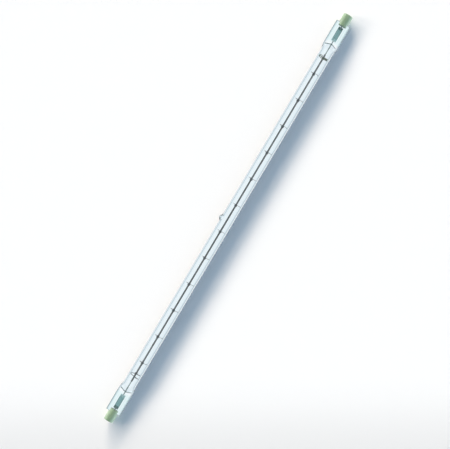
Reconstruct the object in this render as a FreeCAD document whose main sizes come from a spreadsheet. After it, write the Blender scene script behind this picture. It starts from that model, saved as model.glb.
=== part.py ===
import FreeCAD, Part
import math
import os

import Sketcher

# Linear halogen lamp: a long quartz tube pinched flat at both ends, with a coiled filament on its axis held
# by small wire spirals, and a slotted ceramic cap with a recessed contact cemented over each pinch.
# It lies along X with the origin in its middle on the axis and +Z up. The pinch seals lie flat, and the
# exhaust tip points along +Y. The right end is the one at +X, and the left end is its mirror image.

# Driving sizes, in millimetres and degrees
DRIVING_SIZES = [
    ("overall_length", 330.8, "over the outer faces of both caps"),
    ("tube_outer_diameter", 9.5, "quartz tube"),
    ("tube_wall", 1.1, "quartz tube wall"),
    ("pinch_width", 11.1, "flat seal, across the lamp"),
    ("pinch_thickness", 3.4, "flat seal, over its thick edges"),
    ("pinch_length", 15.5, "flat part of the seal"),
    ("pinch_panel_depth", 0.3, "hollow that the press leaves in each flat face"),
    ("pinch_panel_width", 6.4, "the same hollow, across the lamp"),
    ("pinch_panel_margin", 1.2, "from the hollow to each end of the flat part"),
    ("shoulder_length", 4.5, "from the flat part to the round tube"),
    ("shoulder_crown", 0.25, "how far the shoulder stands over the flat face where they meet"),
    ("shoulder_inset", 0.2, "how far the seal's round edges stand out past the shoulder there"),
    ("cavity_tip_setback", 1.25, "from the flat part to the tip of the hollow"),
    ("cavity_length", 4.0, "over which the hollow closes"),
    ("tip_offset", -1.9, "exhaust tip, from the middle of the lamp"),
    ("tip_reach", 6.1, "exhaust tip, from the lamp's axis"),
    ("tip_radius", 0.9, "neck of the exhaust tip"),
    ("tip_bevel", 0.45, "melted-down end of the exhaust tip"),
    ("tip_base_radius", 2.4, "foot of the exhaust tip"),
    ("tip_sink", 0.35, "how far the foot's edge lies inside the tube wall"),
    ("coil_inner_diameter", 0.8, "filament coil"),
    ("coil_wire", 0.3, "filament wire"),
    ("coil_setback", 32.0, "from the lamp's end to the coil's end"),
    ("support_count", 12, "spiral supports along the coil"),
    ("support_margin", 15.535, "from the coil's end to the nearest support"),
    ("support_wire", 0.24, "wire of the supports"),
    ("support_gap", 0.04, "from a support to the coil and to the tube"),
    ("support_wall_wrap", 120, "turn along the tube wall, in degrees"),
    ("spiral_wire", 0.4, "stouter wire of the end spirals"),
    ("left_spiral_setback", 6.5, "from the coil's end to the left end spiral's ring"),
    ("left_spiral_pitch", 2.8, "drawn-out left end spiral"),
    ("left_spiral_turns", 1.2, "the same spiral, along the tube wall"),
    ("right_spiral_setback", 3.3, "from the coil's end to the right end spiral's ring"),
    ("right_spiral_pitch", 0.85, "close right end spiral"),
    ("right_spiral_turns", 1.7, "the same spiral, along the tube wall"),
    ("lead_diameter", 0.7, "inner lead"),
    ("lead_insertion", 5.0, "inner lead, inside the coil"),
    ("foil_length", 11.1, "molybdenum foil"),
    ("foil_width", 3.45, "molybdenum foil"),
    ("foil_thickness", 0.04, "molybdenum foil, in its middle"),
    ("foil_edge", 0.012, "thickness of the foil's etched long edges"),
    ("foil_feather", 0.5, "width of the etched edges"),
    ("foil_setback", 3.25, "from the pinch's end to the foil"),
    ("weld_overlap", 2.0, "of the lead and the pin on the foil"),
    ("weld_gap", 0.01, "between welded faces"),
    ("seal_gap", 0.02, "between the quartz or the cement and what it holds"),
    ("pin_diameter", 0.9, "outer pin"),
    ("pin_clearance", 0.1, "around the pin in the cap"),
    ("cap_diameter", 7.0, "ceramic cap"),
    ("cap_length", 9.0, "ceramic cap"),
    ("cap_bevel", 0.4, "edge of the cap's outer end"),
    ("cap_slot_depth", 2.5, "slot that takes the pinch"),
    ("cement_thickness", 0.25, "between the pinch and the slot"),
    ("cement_setback", 0.3, "from the cap's inner end to the cement"),
    ("recess_diameter", 4.6, "contact recess in the cap's outer end"),
    ("recess_depth", 1.7, "from the cap's outer end to the contact"),
    ("contact_shelf", 0.2, "step between the recess and the contact's seat"),
    ("contact_thickness", 0.9, "contact button"),
    ("contact_clearance", 0.1, "around the contact in its seat"),
]

# Places along +X, worked out from the driving sizes
LAMP_END = "(Sizes.overall_length / 2)"
CAP_INNER_END = f"({LAMP_END} - Sizes.cap_length)"
SLOT_BOTTOM = f"({CAP_INNER_END} + Sizes.cap_slot_depth)"
PINCH_END = f"({SLOT_BOTTOM} - Sizes.cement_thickness)"
FLAT_START = f"({PINCH_END} - Sizes.pinch_length)"
TUBE_END = f"({FLAT_START} - Sizes.shoulder_length)"
CAVITY_TIP = f"({FLAT_START} - Sizes.cavity_tip_setback)"
BORE_END = f"({CAVITY_TIP} - Sizes.cavity_length)"
FOIL_OUTER_END = f"({PINCH_END} - Sizes.foil_setback)"
FOIL_INNER_END = f"({FOIL_OUTER_END} - Sizes.foil_length)"
COIL_END = f"({LAMP_END} - Sizes.coil_setback)"
CONTACT_FACE = f"({LAMP_END} - Sizes.recess_depth)"
CONTACT_BACK = f"({CONTACT_FACE} - Sizes.contact_thickness)"
SUPPORT_PITCH = f"(2 * ({COIL_END} - Sizes.support_margin) / (Sizes.support_count - 1))"
LEAD_INNER_END = f"({COIL_END} - Sizes.lead_insertion)"
LEAD_OUTER_END = f"({FOIL_INNER_END} + Sizes.weld_overlap)"
PIN_INNER_END = f"({FOIL_OUTER_END} - Sizes.weld_overlap)"
PIN_OUTER_END = f"({CONTACT_BACK} - Sizes.weld_gap)"

# Radii and heights that several pieces share
TUBE_RADIUS = "(Sizes.tube_outer_diameter / 2)"
BORE_RADIUS = f"({TUBE_RADIUS} - Sizes.tube_wall)"
COIL_INNER_RADIUS = "(Sizes.coil_inner_diameter / 2)"
COIL_RADIUS = f"({COIL_INNER_RADIUS} + Sizes.coil_wire)"
LEAD_RADIUS = "(Sizes.lead_diameter / 2)"
PIN_RADIUS = "(Sizes.pin_diameter / 2)"
FOIL_TOP = f"(-{LEAD_RADIUS} - Sizes.weld_gap)"
FOIL_HEIGHT = f"({FOIL_TOP} - Sizes.foil_thickness / 2)"
PIN_HEIGHT = f"({PIN_RADIUS} - {LEAD_RADIUS})"
CAP_RADIUS = "(Sizes.cap_diameter / 2)"
RECESS_RADIUS = "(Sizes.recess_diameter / 2)"
SEAT_RADIUS = f"({RECESS_RADIUS} - Sizes.contact_shelf)"
SLOT_HALF_HEIGHT = "(Sizes.pinch_thickness / 2 + Sizes.cement_thickness)"

# The support wire starts over the coil, hugs it for three quarters of a turn and swings out to the wall in
# half a turn, so that the ends of these two stretches lie in the planes of the axes.
RING_WRAP = "270 deg"
SWING_WRAP = "180 deg"

# Lays a primitive's own Z axis along X, and in the second its own X axis along Y as well; the third turns a
# piece a quarter back about X, so that what was above it lies to its +Y side
ALONG_X = FreeCAD.Rotation(FreeCAD.Vector(0, 1, 0), 90)
ACROSS_X = FreeCAD.Rotation(FreeCAD.Vector(1, 1, 1), 120)
QUARTER_BACK = FreeCAD.Rotation(FreeCAD.Vector(1, 0, 0), -90)

doc = FreeCAD.newDocument("LinearHalogenLamp")
sheet = doc.addObject("Spreadsheet::Sheet", "Sizes")
for row, (alias, number, note) in enumerate(DRIVING_SIZES, start=1):
    sheet.set(f"A{row}", note)
    sheet.set(f"B{row}", str(number))
    sheet.setAlias(f"B{row}", alias)
doc.recompute()


def value(expression):
    """The number that an expression has now."""
    result = sheet.evalExpression(expression)
    return float(getattr(result, "Value", result))


def add(kind, label, **expressions):
    """A new object whose properties are bound to expressions."""
    item = doc.addObject(kind, label)
    item.Label = label
    for name, expression in expressions.items():
        item.setExpression(name, expression)
    return item


def place(item, rotation=None, x="0", y="0", z="0"):
    """Turns an object and binds its position to expressions."""
    if rotation is not None:
        item.Placement = FreeCAD.Placement(FreeCAD.Vector(), rotation)
    for name, expression in (("x", x), ("y", y), ("z", z)):
        if expression != "0":
            item.setExpression(f"Placement.Base.{name}", expression)
    return item


def rod(label, radius, start, end, height="0"):
    """A round rod along X between two places."""
    cylinder = add("Part::Cylinder", label, Radius=radius, Height=f"{end} - {start}")
    return place(cylinder, ALONG_X, x=start, z=height)


def fuse(label, *pieces):
    joined = add("Part::MultiFuse", label)
    joined.Shapes = list(pieces)
    joined.Refine = True
    return joined


def cut(label, base, tool):
    left_over = add("Part::Cut", label)
    left_over.Base = base
    left_over.Tool = tool
    left_over.Refine = True
    return left_over


def mirror(label, source):
    """The same piece at the other end of the lamp."""
    image = add("Part::Mirroring", label)
    image.Source = source
    image.Normal = FreeCAD.Vector(1, 0, 0)
    return image


def origin_feature(body, role):
    return next(feature for feature in body.Origin.OriginFeatures if feature.Role == role)


def new_sketch(body, name, plane):
    sketch = body.newObject("Sketcher::SketchObject", name)
    sketch.AttachmentSupport = [(origin_feature(body, plane), "")]
    sketch.MapMode = "FlatFace"
    return sketch


def dimension(sketch, expression, kind, *where):
    """A driving constraint bound to an expression."""
    number = value(expression)
    if kind == "Angle":
        number = math.radians(number)
    index = sketch.addConstraint(Sketcher.Constraint(kind, *where, number))
    sketch.setExpression(f"Constraints[{index}]", expression)


def outline(sketch, corners):
    """A closed outline of straight lines, each corner a pair of expressions."""
    points = [FreeCAD.Vector(value(x), value(y), 0) for x, y in corners]
    count = len(points)
    for i in range(count):
        sketch.addGeometry(Part.LineSegment(points[i], points[(i + 1) % count]), False)
    for i in range(count):
        sketch.addConstraint(Sketcher.Constraint("Coincident", i, 2, (i + 1) % count, 1))
    for i, (x, y) in enumerate(corners):
        for kind, axis, expression in (("DistanceX", -2, x), ("DistanceY", -1, y)):
            if expression == "0":
                sketch.addConstraint(Sketcher.Constraint("PointOnObject", i, 1, axis))
            else:
                dimension(sketch, expression, kind, -1, 1, i, 1)


def slot_outline(sketch, half_spacing, radius):
    """Two half circles on the sketch's X axis joined by straight lines."""
    reach = value(half_spacing)
    bend = value(radius)
    up = FreeCAD.Vector(0, 0, 1)
    quarter = math.pi / 2
    right = FreeCAD.Vector(reach, 0, 0)
    rise = FreeCAD.Vector(0, bend, 0)
    sketch.addGeometry(Part.ArcOfCircle(Part.Circle(right, up, bend), -quarter, quarter), False)
    sketch.addGeometry(Part.LineSegment(right + rise, rise - right), False)
    sketch.addGeometry(Part.ArcOfCircle(Part.Circle(-right, up, bend), quarter, 3 * quarter), False)
    sketch.addGeometry(Part.LineSegment(-right - rise, right - rise), False)
    for i in range(4):
        sketch.addConstraint(Sketcher.Constraint("Tangent", i, 2, (i + 1) % 4, 1))
    sketch.addConstraint(Sketcher.Constraint("Symmetric", 0, 3, 2, 3, -1, 1))
    sketch.addConstraint(Sketcher.Constraint("PointOnObject", 0, 3, -1))
    sketch.addConstraint(Sketcher.Constraint("Horizontal", 1))
    dimension(sketch, half_spacing, "DistanceX", -1, 1, 0, 3)
    dimension(sketch, radius, "Radius", 0)


def slot_plate(label, plane, half_spacing, radius, length):
    """A plate of slot outline, padded from one of the body's planes."""
    body = add("PartDesign::Body", label)
    sketch = new_sketch(body, f"{label}_outline", plane)
    slot_outline(sketch, half_spacing, radius)
    pad = body.newObject("PartDesign::Pad", f"{label}_pad")
    pad.Profile = sketch
    pad.setExpression("Length", length)
    return body


def turned(label, corners, axis="X_Axis"):
    """A piece turned about an axis from half of its outline in the XY plane."""
    body = add("PartDesign::Body", label)
    sketch = new_sketch(body, f"{label}_outline", "XY_Plane")
    outline(sketch, corners)
    revolution = body.newObject("PartDesign::Revolution", f"{label}_turning")
    revolution.Profile = sketch
    revolution.ReferenceAxis = (origin_feature(body, axis), [""])
    revolution.Angle = 360
    return body


def ellipse_loft(label, sections):
    """A solid through ellipses across X, each given by its place, half width and half height."""
    rings = []
    for number, (x, half_width, half_height) in enumerate(sections, start=1):
        ring = add("Part::Ellipse", f"{label}_{number}", MajorRadius=half_width, MinorRadius=half_height)
        rings.append(place(ring, ACROSS_X, x=x))
    loft = add("Part::Loft", label)
    loft.Sections = rings
    loft.Solid = True
    loft.Ruled = True
    return loft


# Quartz envelope: tube, shoulders, pinch seals and exhaust tip are one piece of quartz
def pinch_shoulder():
    """Blends the round tube into the flat seal with a soft S curve along each side."""
    flat_half_width = "(Sizes.pinch_width / 2 - Sizes.shoulder_inset)"
    flat_half_height = "(Sizes.pinch_thickness / 2 + Sizes.shoulder_crown)"
    sections = []
    for step in range(4):
        part_way = step / 3
        ease = part_way**2 * (3 - 2 * part_way)
        x = f"{TUBE_END} + {part_way} * Sizes.shoulder_length"
        half_width = f"{TUBE_RADIUS} + {ease} * ({flat_half_width} - {TUBE_RADIUS})"
        half_height = f"{TUBE_RADIUS} + {ease} * ({flat_half_height} - {TUBE_RADIUS})"
        sections.append((x, half_width, half_height))
    return ellipse_loft("pinch_shoulder", sections)


def pinch_plate():
    """Flat seal with full round edges and a pressed hollow in each face."""
    edge_radius = "(Sizes.pinch_thickness / 2)"
    plate = slot_plate(
        "pinch_plate", "YZ_Plane", f"Sizes.pinch_width / 2 - {edge_radius}", edge_radius, "Sizes.pinch_length"
    )
    place(plate, x=FLAT_START)
    for side, height in (("upper", f"{edge_radius} - Sizes.pinch_panel_depth"), ("lower", f"-{edge_radius}")):
        panel = add(
            "Part::Box",
            f"{side}_panel",
            Length="Sizes.pinch_length - 2 * Sizes.pinch_panel_margin",
            Width="Sizes.pinch_panel_width",
            Height="Sizes.pinch_panel_depth",
        )
        place(panel, x=f"{FLAT_START} + Sizes.pinch_panel_margin", y="-Sizes.pinch_panel_width / 2", z=height)
        plate = cut(f"plate_with_{side}_panel", plate, panel)
    return plate


def exhaust_tip():
    """The nipple left where the exhaust tube was melted off, with its foot inside the tube wall."""
    skirt = f"(sqrt({TUBE_RADIUS}^2 - Sizes.tip_base_radius^2) - Sizes.tip_sink)"
    corners = [
        ("0", "0"),
        ("Sizes.tip_base_radius", "0"),
        ("Sizes.tip_base_radius", skirt),
        ("Sizes.tip_radius", "Sizes.tip_reach - Sizes.tip_bevel"),
        ("Sizes.tip_radius - Sizes.tip_bevel", "Sizes.tip_reach"),
        ("0", "Sizes.tip_reach"),
    ]
    return place(turned("exhaust_tip", corners, "Y_Axis"), x="Sizes.tip_offset")


def pinch_hollow():
    """The inside of a pinched end: the tube's hollow closes to a flat, rounded tongue, and beyond it lie the
    beds that the quartz forms round the lead, the foil and the pin."""
    sections = []
    last = 0.95
    for part_way in (0, 0.5, 0.8, last):
        x = f"{BORE_END} + {part_way / last} * Sizes.cavity_length"
        half_width = f"{BORE_RADIUS} * {(1 - part_way**3) ** (1 / 3)}"
        half_height = f"{BORE_RADIUS} * {1 - part_way}"
        sections.append((x, half_width, half_height))
    tongue = ellipse_loft("cavity_tongue", sections)
    lead_bed = rod(
        "lead_bed", f"{LEAD_RADIUS} + Sizes.seal_gap", BORE_END, f"({LEAD_OUTER_END} + Sizes.seal_gap)"
    )
    pin_bed = rod(
        "pin_bed",
        f"{PIN_RADIUS} + Sizes.seal_gap",
        f"({PIN_INNER_END} - Sizes.seal_gap)",
        LAMP_END,
        PIN_HEIGHT,
    )
    foil_bed = add(
        "Part::Box",
        "foil_bed",
        Length="Sizes.foil_length + 2 * Sizes.seal_gap",
        Width="Sizes.foil_width + 2 * Sizes.seal_gap",
        Height="Sizes.foil_thickness + 2 * Sizes.seal_gap",
    )
    place(
        foil_bed,
        x=f"{FOIL_INNER_END} - Sizes.seal_gap",
        y="-Sizes.foil_width / 2 - Sizes.seal_gap",
        z=f"{FOIL_TOP} - Sizes.foil_thickness - Sizes.seal_gap",
    )
    return fuse("pinch_hollow", tongue, lead_bed, pin_bed, foil_bed)


def quartz_envelope():
    tube = rod("tube", TUBE_RADIUS, f"(-{TUBE_END})", TUBE_END)
    pinch = fuse("pinch", pinch_shoulder(), pinch_plate())
    outside = fuse("envelope_outside", tube, pinch, mirror("mirrored_pinch", pinch), exhaust_tip())
    bore = rod("bore", BORE_RADIUS, f"(-{BORE_END})", BORE_END)
    hollow = pinch_hollow()
    inside = fuse("envelope_inside", bore, hollow, mirror("mirrored_hollow", hollow))
    return cut("quartz_envelope", outside, inside)


# Filament: the close coil as the sleeve that its turns fill
def filament_coil():
    sleeve = rod("coil_sleeve", COIL_RADIUS, f"(-{COIL_END})", COIL_END)
    hole = rod("coil_hole", COIL_INNER_RADIUS, f"(-{COIL_END})", COIL_END)
    return cut("filament_coil", sleeve, hole)


# Supports: flat wire spirals that ring the coil and lie along the tube wall
def arc_chain(sketch, arcs):
    """Arcs that turn the same way and run into each other, the first about the origin from the Y axis."""
    up = FreeCAD.Vector(0, 0, 1)
    centre = FreeCAD.Vector()
    angle = math.pi / 2
    for number, (radius, wrap) in enumerate(arcs):
        bend = value(radius)
        sweep = math.radians(value(wrap))
        sketch.addGeometry(Part.ArcOfCircle(Part.Circle(centre, up, bend), angle, angle + sweep), False)
        if number == 0:
            sketch.addConstraint(Sketcher.Constraint("Coincident", 0, 3, -1, 1))
            sketch.addConstraint(Sketcher.Constraint("PointOnObject", 0, 1, -2))
        else:
            sketch.addConstraint(Sketcher.Constraint("Tangent", number - 1, 2, number, 1))
        dimension(sketch, radius, "Radius", number)
        dimension(sketch, wrap, "Angle", number)
        angle += sweep
        if number + 1 < len(arcs):
            end = sketch.getPoint(number, 2)
            outward = (end - centre).normalize()
            centre = end - outward * value(arcs[number + 1][0])


def wire_section(sketch, wire, height):
    """The wire's section, cut down to three sides, at a height over the sketch's X axis."""
    half_side = f"{wire} / 2 * cos(30 deg)"
    foot = f"{height} - {wire} / 2 * sin(30 deg)"
    outline(sketch, [("0", f"{height} + {wire} / 2"), (f"-{half_side}", foot), (half_side, foot)])


def ring_radius(wire):
    """The wire's middle where it hugs the coil."""
    return f"({COIL_RADIUS} + Sizes.support_gap + {wire} / 2)"


def wall_turn_radius(wire):
    """The wire's middle where it lies along the tube wall."""
    return f"({BORE_RADIUS} - Sizes.support_gap - {wire} / 2)"


def ring_and_swing(wire):
    """The arcs from the coil to the wall, as radius and turn."""
    swing_radius = f"(({ring_radius(wire)} + {wall_turn_radius(wire)}) / 2)"
    return [(ring_radius(wire), RING_WRAP), (swing_radius, SWING_WRAP)]


def wire_spiral(label, wire, arcs):
    """Wire bent along a chain of arcs in the plane across the lamp."""
    body = add("PartDesign::Body", label)
    path = new_sketch(body, f"{label}_path", "YZ_Plane")
    arc_chain(path, arcs)
    section = new_sketch(body, f"{label}_section", "XZ_Plane")
    wire_section(section, wire, ring_radius(wire))
    pipe = body.newObject("PartDesign::AdditivePipe", f"{label}_wire")
    pipe.Profile = section
    pipe.Spine = (path, [f"Edge{number}" for number in range(1, len(arcs) + 1)])
    return body


def filament_support(number):
    wire = "Sizes.support_wire"
    arcs = ring_and_swing(wire) + [(wall_turn_radius(wire), "Sizes.support_wall_wrap * 1 deg")]
    support = wire_spiral(f"filament_support_{number:02d}", wire, arcs)
    x = f"({number} - (Sizes.support_count + 1) / 2) * {SUPPORT_PITCH}"
    return place(support, QUARTER_BACK, x=x)


# End spirals: the same ring, with the wall turn drawn out into a helix towards the lamp's end
def end_spiral(label, setback, pitch, turns):
    wire = "Sizes.spiral_wire"
    body = wire_spiral(label, wire, ring_and_swing(wire))
    section = new_sketch(body, f"{label}_wall_section", "XY_Plane")
    wire_section(section, wire, f"-{wall_turn_radius(wire)}")
    helix = body.newObject("PartDesign::AdditiveHelix", f"{label}_helix")
    helix.Profile = section
    helix.ReferenceAxis = (origin_feature(body, "X_Axis"), [""])
    helix.Mode = "pitch-turns-angle"
    helix.setExpression("Pitch", pitch)
    helix.setExpression("Turns", turns)
    return place(body, x=f"{COIL_END} - {setback}")


# Leads, foils and pins: the current's way through the seal
def foil(label):
    """A thin strip with etched long edges, under the lead and the pin."""
    body = add("PartDesign::Body", label)
    sketch = new_sketch(body, f"{label}_outline", "YZ_Plane")
    edge = "(Sizes.foil_width / 2)"
    flat = f"({edge} - Sizes.foil_feather)"
    corners = [(f"-{edge}", "Sizes.foil_edge / 2"), (f"-{edge}", "-Sizes.foil_edge / 2")]
    corners += [(f"-{flat}", "-Sizes.foil_thickness / 2"), (flat, "-Sizes.foil_thickness / 2")]
    corners += [(edge, "-Sizes.foil_edge / 2"), (edge, "Sizes.foil_edge / 2")]
    corners += [(flat, "Sizes.foil_thickness / 2"), (f"-{flat}", "Sizes.foil_thickness / 2")]
    outline(sketch, corners)
    pad = body.newObject("PartDesign::Pad", f"{label}_pad")
    pad.Profile = sketch
    pad.setExpression("Length", "Sizes.foil_length")
    return place(body, x=FOIL_INNER_END, z=FOIL_HEIGHT)


def inner_lead(label):
    return rod(label, LEAD_RADIUS, LEAD_INNER_END, LEAD_OUTER_END)


def outer_pin(label):
    return rod(label, PIN_RADIUS, PIN_INNER_END, PIN_OUTER_END, PIN_HEIGHT)


# Caps: ceramic cylinders, slotted over the pinch at one end and recessed for the contact at the other
def ceramic_cap(label):
    hole_radius = f"({PIN_RADIUS} + abs({PIN_HEIGHT}) + Sizes.pin_clearance)"
    corners = [
        (LAMP_END, RECESS_RADIUS),
        (LAMP_END, f"{CAP_RADIUS} - Sizes.cap_bevel"),
        (f"{LAMP_END} - Sizes.cap_bevel", CAP_RADIUS),
        (CAP_INNER_END, CAP_RADIUS),
        (CAP_INNER_END, hole_radius),
        (CONTACT_BACK, hole_radius),
        (CONTACT_BACK, SEAT_RADIUS),
        (CONTACT_FACE, SEAT_RADIUS),
        (CONTACT_FACE, RECESS_RADIUS),
    ]
    body = turned(label, corners)
    doc.recompute()
    whole = body.Shape.Volume
    sketch = new_sketch(body, f"{label}_slot_outline", "XZ_Plane")
    open_end = f"({CAP_INNER_END} - Sizes.cap_length)"
    slot_corners = [(open_end, f"-{SLOT_HALF_HEIGHT}"), (SLOT_BOTTOM, f"-{SLOT_HALF_HEIGHT}")]
    slot_corners += [(SLOT_BOTTOM, SLOT_HALF_HEIGHT), (open_end, SLOT_HALF_HEIGHT)]
    outline(sketch, slot_corners)
    slot = body.newObject("PartDesign::Pocket", f"{label}_slot")
    slot.Profile = sketch
    slot.SideType = "Symmetric"
    slot.setExpression("Length", "2 * Sizes.cap_diameter")
    doc.recompute()
    if body.Shape.Volume > 0.95 * whole:
        raise RuntimeError("the slot has cut too little from the cap")
    return body


def contact_button(label):
    """The flat button that forms the bottom of the recess."""
    return rod(label, f"{SEAT_RADIUS} - Sizes.contact_clearance", CONTACT_BACK, CONTACT_FACE)


def cement_layer(label):
    """What fills the cap's slot round the end of the pinch."""
    start = f"({CAP_INNER_END} + Sizes.cement_setback)"
    end = f"({SLOT_BOTTOM} - Sizes.seal_gap)"
    half_height = f"({SLOT_HALF_HEIGHT} - Sizes.seal_gap)"
    half_width = f"(sqrt({CAP_RADIUS}^2 - {SLOT_HALF_HEIGHT}^2) - Sizes.seal_gap)"
    filling = add(
        "Part::Box",
        "slot_filling",
        Length=f"{end} - {start}",
        Width=f"2 * {half_width}",
        Height=f"2 * {half_height}",
    )
    place(filling, x=start, y=f"-{half_width}", z=f"-{half_height}")
    edge_radius = "(Sizes.pinch_thickness / 2)"
    pinch_bed = slot_plate(
        "pinch_bed",
        "YZ_Plane",
        f"Sizes.pinch_width / 2 - {edge_radius}",
        f"{edge_radius} + Sizes.seal_gap",
        "Sizes.pinch_length + Sizes.seal_gap",
    )
    place(pinch_bed, x=FLAT_START)
    pin_way = rod("pin_way", f"{PIN_RADIUS} + Sizes.seal_gap", start, LAMP_END, PIN_HEIGHT)
    return cut(label, filling, fuse("cement_beds", pinch_bed, pin_way))


# The whole lamp
pieces = [quartz_envelope(), filament_coil()]
for support_number in range(1, int(value("Sizes.support_count")) + 1):
    pieces.append(filament_support(support_number))
right_spiral = [f"Sizes.right_spiral_{size}" for size in ("setback", "pitch", "turns")]
pieces.append(end_spiral("right_end_spiral", *right_spiral))
left_spiral = [f"Sizes.left_spiral_{size}" for size in ("setback", "pitch", "turns")]
pieces.append(mirror("left_end_spiral", end_spiral("left_spiral_form", *left_spiral)))
for name, make in (
    ("inner_lead", inner_lead),
    ("foil", foil),
    ("outer_pin", outer_pin),
    ("cap", ceramic_cap),
    ("contact", contact_button),
    ("cement", cement_layer),
):
    right_piece = make(f"right_{name}")
    pieces.append(right_piece)
    pieces.append(mirror(f"left_{name}", right_piece))
doc.recompute()

# Every object has to be sound before anything is written
for item in doc.Objects:
    if "Invalid" in item.State or "Error" in item.State:
        raise RuntimeError(f"{item.Label} failed: {item.State}")
for piece in pieces:
    if piece.Shape.isNull() or not piece.Shape.isValid() or len(piece.Shape.Solids) != 1:
        raise RuntimeError(f"{piece.Label} is not one sound solid")

os.makedirs("parts", exist_ok=True)
for piece in pieces:
    piece.Shape.exportStep(f"parts/{piece.Label}.step")
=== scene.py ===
import math

import bmesh
import bpy
import numpy as np
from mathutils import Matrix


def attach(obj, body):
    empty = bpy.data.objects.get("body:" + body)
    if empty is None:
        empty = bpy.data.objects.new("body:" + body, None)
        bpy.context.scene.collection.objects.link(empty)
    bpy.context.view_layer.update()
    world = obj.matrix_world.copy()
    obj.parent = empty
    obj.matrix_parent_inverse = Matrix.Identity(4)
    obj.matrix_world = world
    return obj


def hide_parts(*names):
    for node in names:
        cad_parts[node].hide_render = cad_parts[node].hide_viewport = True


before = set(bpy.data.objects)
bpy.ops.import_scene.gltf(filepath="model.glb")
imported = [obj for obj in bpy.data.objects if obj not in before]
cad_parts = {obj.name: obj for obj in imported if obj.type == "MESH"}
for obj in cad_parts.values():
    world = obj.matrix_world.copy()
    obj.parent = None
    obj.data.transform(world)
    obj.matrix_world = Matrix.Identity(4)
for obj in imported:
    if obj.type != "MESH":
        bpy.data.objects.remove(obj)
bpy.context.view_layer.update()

# Filament: one long coil of tungsten wire on the lamp's axis. It is wound on a mandrel, fired, and drawn
# through the whole tube, so the bare wire is dark grey with a dull metal shine.
MM = 0.001
COIL_END = 133.4 * MM
COIL_MEAN_RADIUS = 0.53 * MM
COIL_WIRE_RADIUS = 0.17 * MM
COIL_TURNS = 600
COIL_POINTS_A_TURN = 10
COIL_WIRE_SIDES = 5
TUNGSTEN_DARK = (0.022, 0.046, 0.058, 1)
TUNGSTEN_LIGHT = (0.056, 0.108, 0.135, 1)
MOTTLE_FINENESS = 5
ALONG_LAMP = np.array([1.0, 0, 0])


def helix(start, end, radius, first_angle, turns, points):
    """Points on a helix about the lamp's axis: x runs evenly from start to end while the angle, measured
    from +Y towards +Z, runs evenly through the turns."""
    share = np.linspace(0, 1, points)
    angle = first_angle + 2 * np.pi * turns * share
    return np.stack([start + (end - start) * share, radius * np.cos(angle), radius * np.sin(angle)], axis=-1)


def wire_rings(path, radius, sides, guide):
    """A circle carried along a path. The path's direction at a point is the difference of its neighbours,
    the circle's first axis is the guide with its share along that direction taken out, and its second axis
    is the direction crossed with the first. One ring of points for each point of the path."""
    direction = np.gradient(path, axis=0)
    direction /= np.linalg.norm(direction, axis=1, keepdims=True)
    first = guide - (direction @ guide)[:, None] * direction
    first /= np.linalg.norm(first, axis=1, keepdims=True)
    second = np.cross(direction, first)
    turn = np.linspace(0, 2 * np.pi, sides, endpoint=False)[None, :, None]
    reach = np.broadcast_to(radius, len(path))[:, None, None]
    return path[:, None] + reach * (np.cos(turn) * first[:, None] + np.sin(turn) * second[:, None])


def closed_skin(rings):
    """Faces between each ring of points and the next, and a fan from the middle of the first and of the
    last ring to its points. Returns points and faces."""
    count, around = rings.shape[:2]
    row = np.arange(count - 1)[:, None] * around
    here = np.arange(around)
    after = (here + 1) % around
    sides = np.stack([row + here, row + after, row + around + after, row + around + here], axis=-1)
    middles = np.stack([rings[0].mean(axis=0), rings[-1].mean(axis=0)])
    first_middle = np.full(around, count * around)
    last_row = (count - 1) * around
    first_fan = np.stack([first_middle, after, here], axis=-1)
    last_fan = np.stack([first_middle + 1, last_row + here, last_row + after], axis=-1)
    points = np.concatenate([rings.reshape(-1, 3), middles])
    return points, sides.reshape(-1, 4).tolist() + first_fan.tolist() + last_fan.tolist()


def new_piece(name, points, faces, material, slot, *nodes):
    """A smooth mesh object at the origin that stands for CAD nodes and rides on the lamp's one body."""
    mesh = bpy.data.meshes.new(name)
    mesh.from_pydata(points.tolist(), [], faces)
    mesh.shade_smooth()
    mesh.materials.append(material)
    piece = bpy.data.objects.new(name, mesh)
    bpy.context.scene.collection.objects.link(piece)
    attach(piece, "root")
    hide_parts(*nodes)
    return piece


def new_material(name):
    """A material, its node tree, its Principled shader and the socket of its Object coordinates."""
    material = bpy.data.materials.new(name)
    material.use_nodes = True
    tree = material.node_tree
    shader = tree.nodes["Principled BSDF"]
    place = tree.nodes.new("ShaderNodeTexCoord").outputs["Object"]
    return material, tree, shader, place


def new_group(name, inputs, outputs):
    """An empty shader node group with named sockets, and its input and output nodes."""
    group = bpy.data.node_groups.new(name, "ShaderNodeTree")
    for label, kind in inputs:
        group.interface.new_socket(label, in_out="INPUT", socket_type=kind)
    for label, kind in outputs:
        group.interface.new_socket(label, in_out="OUTPUT", socket_type=kind)
    return group, group.nodes.new("NodeGroupInput"), group.nodes.new("NodeGroupOutput")


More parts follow.
